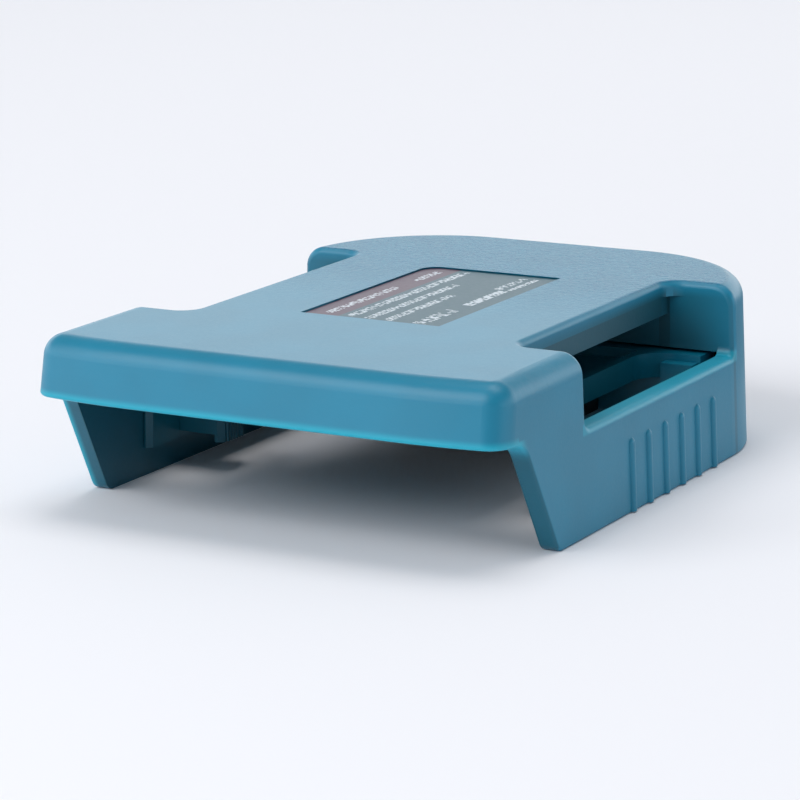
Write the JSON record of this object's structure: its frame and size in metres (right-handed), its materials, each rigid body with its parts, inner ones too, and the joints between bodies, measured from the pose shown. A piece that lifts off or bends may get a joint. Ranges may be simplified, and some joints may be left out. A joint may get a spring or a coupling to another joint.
{
  "type": "slide-on battery power bank adapter",
  "caption": "Slide-on shell that turns a tool battery into a power bank, with rails, blade terminals, charging outlets and a push button.",
  "frame": {"origin": "centre of the bounding box's underside, on the plane of the skirts' foot", "axes": "+Y from the open nose to the outlet end, which is the way the battery slides in; +Z from the skirts' foot to the roof; +X to the right seen from the nose"},
  "size_m": [0.081, 0.1033, 0.027],
  "materials": {
    "housing_teal": "satin, fine spark-eroded grain",
    "frame_teal": "satin, smoother than the shell",
    "block_black": "matte, glass-filled",
    "blade_metal": "tinned, bright",
    "lead_red": "soft insulation",
    "lead_black": "soft insulation",
    "board_green": "solder-resist gloss",
    "outlet_steel": "bright formed sheet",
    "tongue_white": "moulded",
    "tongue_black": "moulded",
    "bezel_black": "fine grain",
    "switch_black": "moulded",
    "plunger_white": "moulded",
    "button_grey": "satin",
    "led_white": "moulded lens",
    "pipe_clear": "clear moulded plastic",
    "ferrite_grey": "pressed powder",
    "capacitor_can": "bright can with a dark sleeve mark",
    "chip_black": "moulded package",
    "fuse_ceramic": "ceramic with metal ends",
    "screw_steel": "zinc plated",
    "label_print": "printed film, left without words"
  },
  "bodies": {
    "adapter": {"upper_housing": "housing_teal", "rail_frame": "frame_teal", "terminal_block": "block_black", "positive_blade": "blade_metal", "negative_blade": "blade_metal", "positive_lead": "lead_red", "negative_lead": "lead_black", "main_board": "board_green", "large_outlet_shell": "outlet_steel", "large_outlet_tongue": "tongue_white", "small_outlet_shell": "outlet_steel", "small_outlet_tongue": "tongue_black", "port_bezel": "bezel_black", "switch_body": "switch_black", "status_led": "led_white", "light_pipe": "pipe_clear", "power_inductor": "ferrite_grey", "input_capacitor": "capacitor_can", "output_capacitors": "capacitor_can", "converter_chips": "chip_black", "fuse": "fuse_ceramic", "housing_screws": "screw_steel", "small_screws": "screw_steel", "label_film": "label_print"},
    "push_button": {"button_cap": "button_grey", "switch_plunger": "plunger_white"}
  },
  "joints": [
    {"name": "button_press", "type": "slide", "parent": "adapter", "child": "push_button", "axis": [0, -1, 0], "range_m": [0, 0.0008], "stiffness_N_per_m": 1500}
  ]
}
